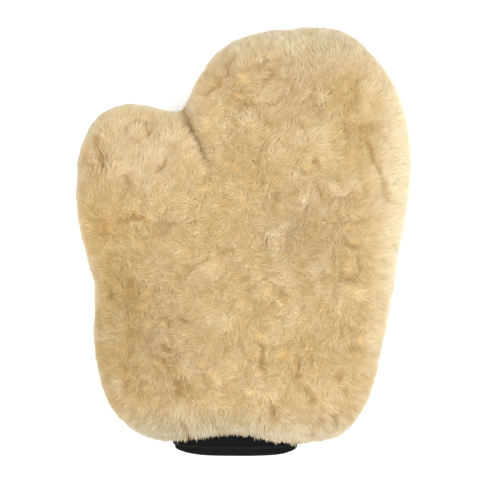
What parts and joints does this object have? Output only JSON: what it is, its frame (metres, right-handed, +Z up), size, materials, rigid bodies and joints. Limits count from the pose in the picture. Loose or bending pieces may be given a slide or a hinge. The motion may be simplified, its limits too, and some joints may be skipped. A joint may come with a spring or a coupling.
{
  "type": "wash mitt",
  "caption": "Sheepskin wash mitt with a thumb: front and back pelts sewn edge to edge, wool outside, and a folded elastic knit cuff at the wrist.",
  "frame": {"origin": "centre of the base, on the surface the mitt lies on, under the middle of its bounding box", "axes": "+Y from the cuff to the fingertips, +Z up out of the front, +X to the side away from the thumb"},
  "size_m": [0.2109, 0.2698, 0.0548],
  "materials": {
    "wool": "natural cream lambswool pile, dense, soft, matt with a pale sheen at the tips",
    "hide": "suede flesh side of tanned sheepskin, matt",
    "seam_thread": "undyed sewing thread",
    "cuff_knit": "black rib knit, matt",
    "cuff_thread": "black sewing thread",
    "elastic": "woven flat elastic, off-white"
  },
  "bodies": {
    "mitt": {"front_wool": "wool", "back_wool": "wool", "front_hide": "hide", "back_hide": "hide", "heel_edge_seam": "seam_thread", "finger_edge_seam": "seam_thread", "cuff_knit": "cuff_knit", "cuff_elastic": "elastic", "cuff_hem_stitch": "cuff_thread", "cuff_join_stitch": "seam_thread", "cuff_side_seam": "cuff_thread"},
    "thumb": {"thumb_front_wool": "wool", "thumb_back_wool": "wool", "thumb_front_hide": "hide", "thumb_back_hide": "hide", "thumb_edge_seam": "seam_thread"}
  },
  "joints": [
    {"name": "thumb_flex", "type": "hinge", "parent": "mitt", "child": "thumb", "pos_m": [-0.024, 0.047, 0.026], "axis": [0.9063, 0.4226, 0], "range_deg": [0, 40], "deforming": ["thumb_front_wool"]}
  ]
}
